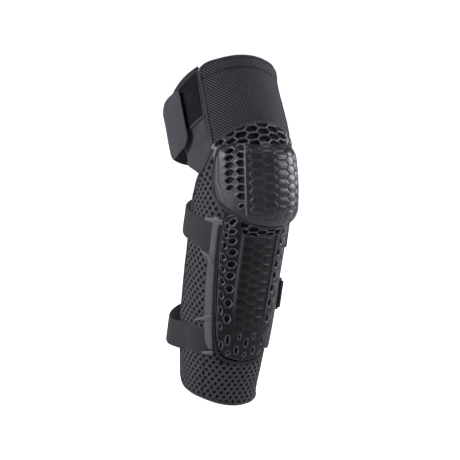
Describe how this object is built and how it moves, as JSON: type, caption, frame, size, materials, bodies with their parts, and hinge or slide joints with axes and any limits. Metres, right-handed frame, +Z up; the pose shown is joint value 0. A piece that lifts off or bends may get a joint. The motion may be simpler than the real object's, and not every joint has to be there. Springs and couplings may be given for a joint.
{
  "type": "knee guards",
  "caption": "Long off-road knee and shin guard with a vented moulded cup and shell, padded open-back body, thigh cuff and elastic calf straps.",
  "frame": {"origin": "on the axis of the padded shin cradle, at mid shin", "axes": "+Z up along the shin, -Y forward (the hard shell side), +X to the right seen from the front"},
  "size_m": [0.1673, 0.2559, 0.4699],
  "materials": {
    "shell_plastic": "satin moulded flexible plastic",
    "rail_plastic": "smooth satin plastic",
    "mesh_fabric": "knit mesh over perforated foam",
    "air_mesh": "open air mesh",
    "smooth_fabric": "smooth stretch fabric",
    "binding": "woven edge binding with stitching",
    "webbing": "elastic webbing",
    "loop": "loop pile",
    "hook": "hook tape",
    "foam": "soft closed-cell foam",
    "lining": "brushed lining"
  },
  "bodies": {
    "shin": {"ankle_panel": "mesh_fabric", "chassis_edge_binding": "binding", "left_side_panel": "mesh_fabric", "left_side_rail": "rail_plastic", "lower_calf_strap": "webbing", "lower_flex_lattice": "shell_plastic", "lower_left_strap_bracket": "rail_plastic", "lower_right_strap_ring": "rail_plastic", "lower_strap_fold": "webbing", "right_side_panel": "mesh_fabric", "right_side_rail": "rail_plastic", "shell_edge_trim": "binding", "shin_foam_pad": "foam", "shin_liner": "lining", "shin_shell": "shell_plastic", "upper_calf_strap": "webbing", "upper_left_strap_bracket": "rail_plastic", "upper_right_strap_ring": "rail_plastic", "upper_strap_fold": "webbing"},
    "knee": {"cup_edge_trim": "binding", "knee_cup": "shell_plastic", "knee_foam_pad": "foam", "knee_liner": "lining", "left_knee_gusset": "mesh_fabric", "right_knee_gusset": "mesh_fabric", "upper_flex_lattice": "shell_plastic"},
    "thigh": {"left_stretch_gusset": "smooth_fabric", "left_thigh_panel": "smooth_fabric", "loop_patch": "loop", "right_stretch_gusset": "smooth_fabric", "right_thigh_panel": "smooth_fabric", "thigh_arch_binding": "binding", "thigh_foam_pad": "foam", "thigh_front_panel": "air_mesh", "thigh_liner": "lining", "thigh_strap": "webbing", "thigh_strap_anchor": "webbing", "thigh_top_binding": "binding"},
    "thigh_tab": {"thigh_strap_tab": "smooth_fabric", "thigh_hook_patch": "hook"},
    "upper_tab": {"upper_strap_tab": "webbing", "upper_strap_hook_patch": "hook"},
    "lower_tab": {"lower_strap_tab": "webbing", "lower_strap_hook_patch": "hook"}
  },
  "joints": [
    {"name": "cup_flex", "type": "hinge", "parent": "shin", "child": "knee", "pos_m": [0, -0.056, 0.08], "axis": [-1, 0, 0], "range_deg": [-10, 25], "stiffness_Nm_per_rad": 1.5, "springref_deg": -3.61, "deforming": ["lower_flex_lattice", "left_knee_gusset", "right_knee_gusset"]},
    {"name": "thigh_flex", "type": "hinge", "parent": "knee", "child": "thigh", "pos_m": [0, -0.01714, 0.20197], "axis": [-1, 0, 0], "range_deg": [-10, 25], "stiffness_Nm_per_rad": 1.5, "springref_deg": -3.61, "deforming": ["upper_flex_lattice", "left_stretch_gusset", "right_stretch_gusset", "left_knee_gusset", "right_knee_gusset"]},
    {"name": "thigh_tab_peel", "type": "hinge", "parent": "thigh", "child": "thigh_tab", "pos_m": [-0.0728, 0.10754, 0.16248], "axis": [0, -0.6115, -0.7912], "range_deg": [0, 100]},
    {"name": "upper_tab_peel", "type": "hinge", "parent": "shin", "child": "upper_tab", "pos_m": [0.0729, -0.0122, 0.054], "axis": [0, 0, -1], "range_deg": [0, 120]},
    {"name": "lower_tab_peel", "type": "hinge", "parent": "shin", "child": "lower_tab", "pos_m": [0.0664, -0.0282, -0.028], "axis": [0, 0, -1], "range_deg": [0, 120]}
  ],
  "couplings": [
    {"joint": "thigh_flex", "follows": "cup_flex", "ratio": 1}
  ]
}
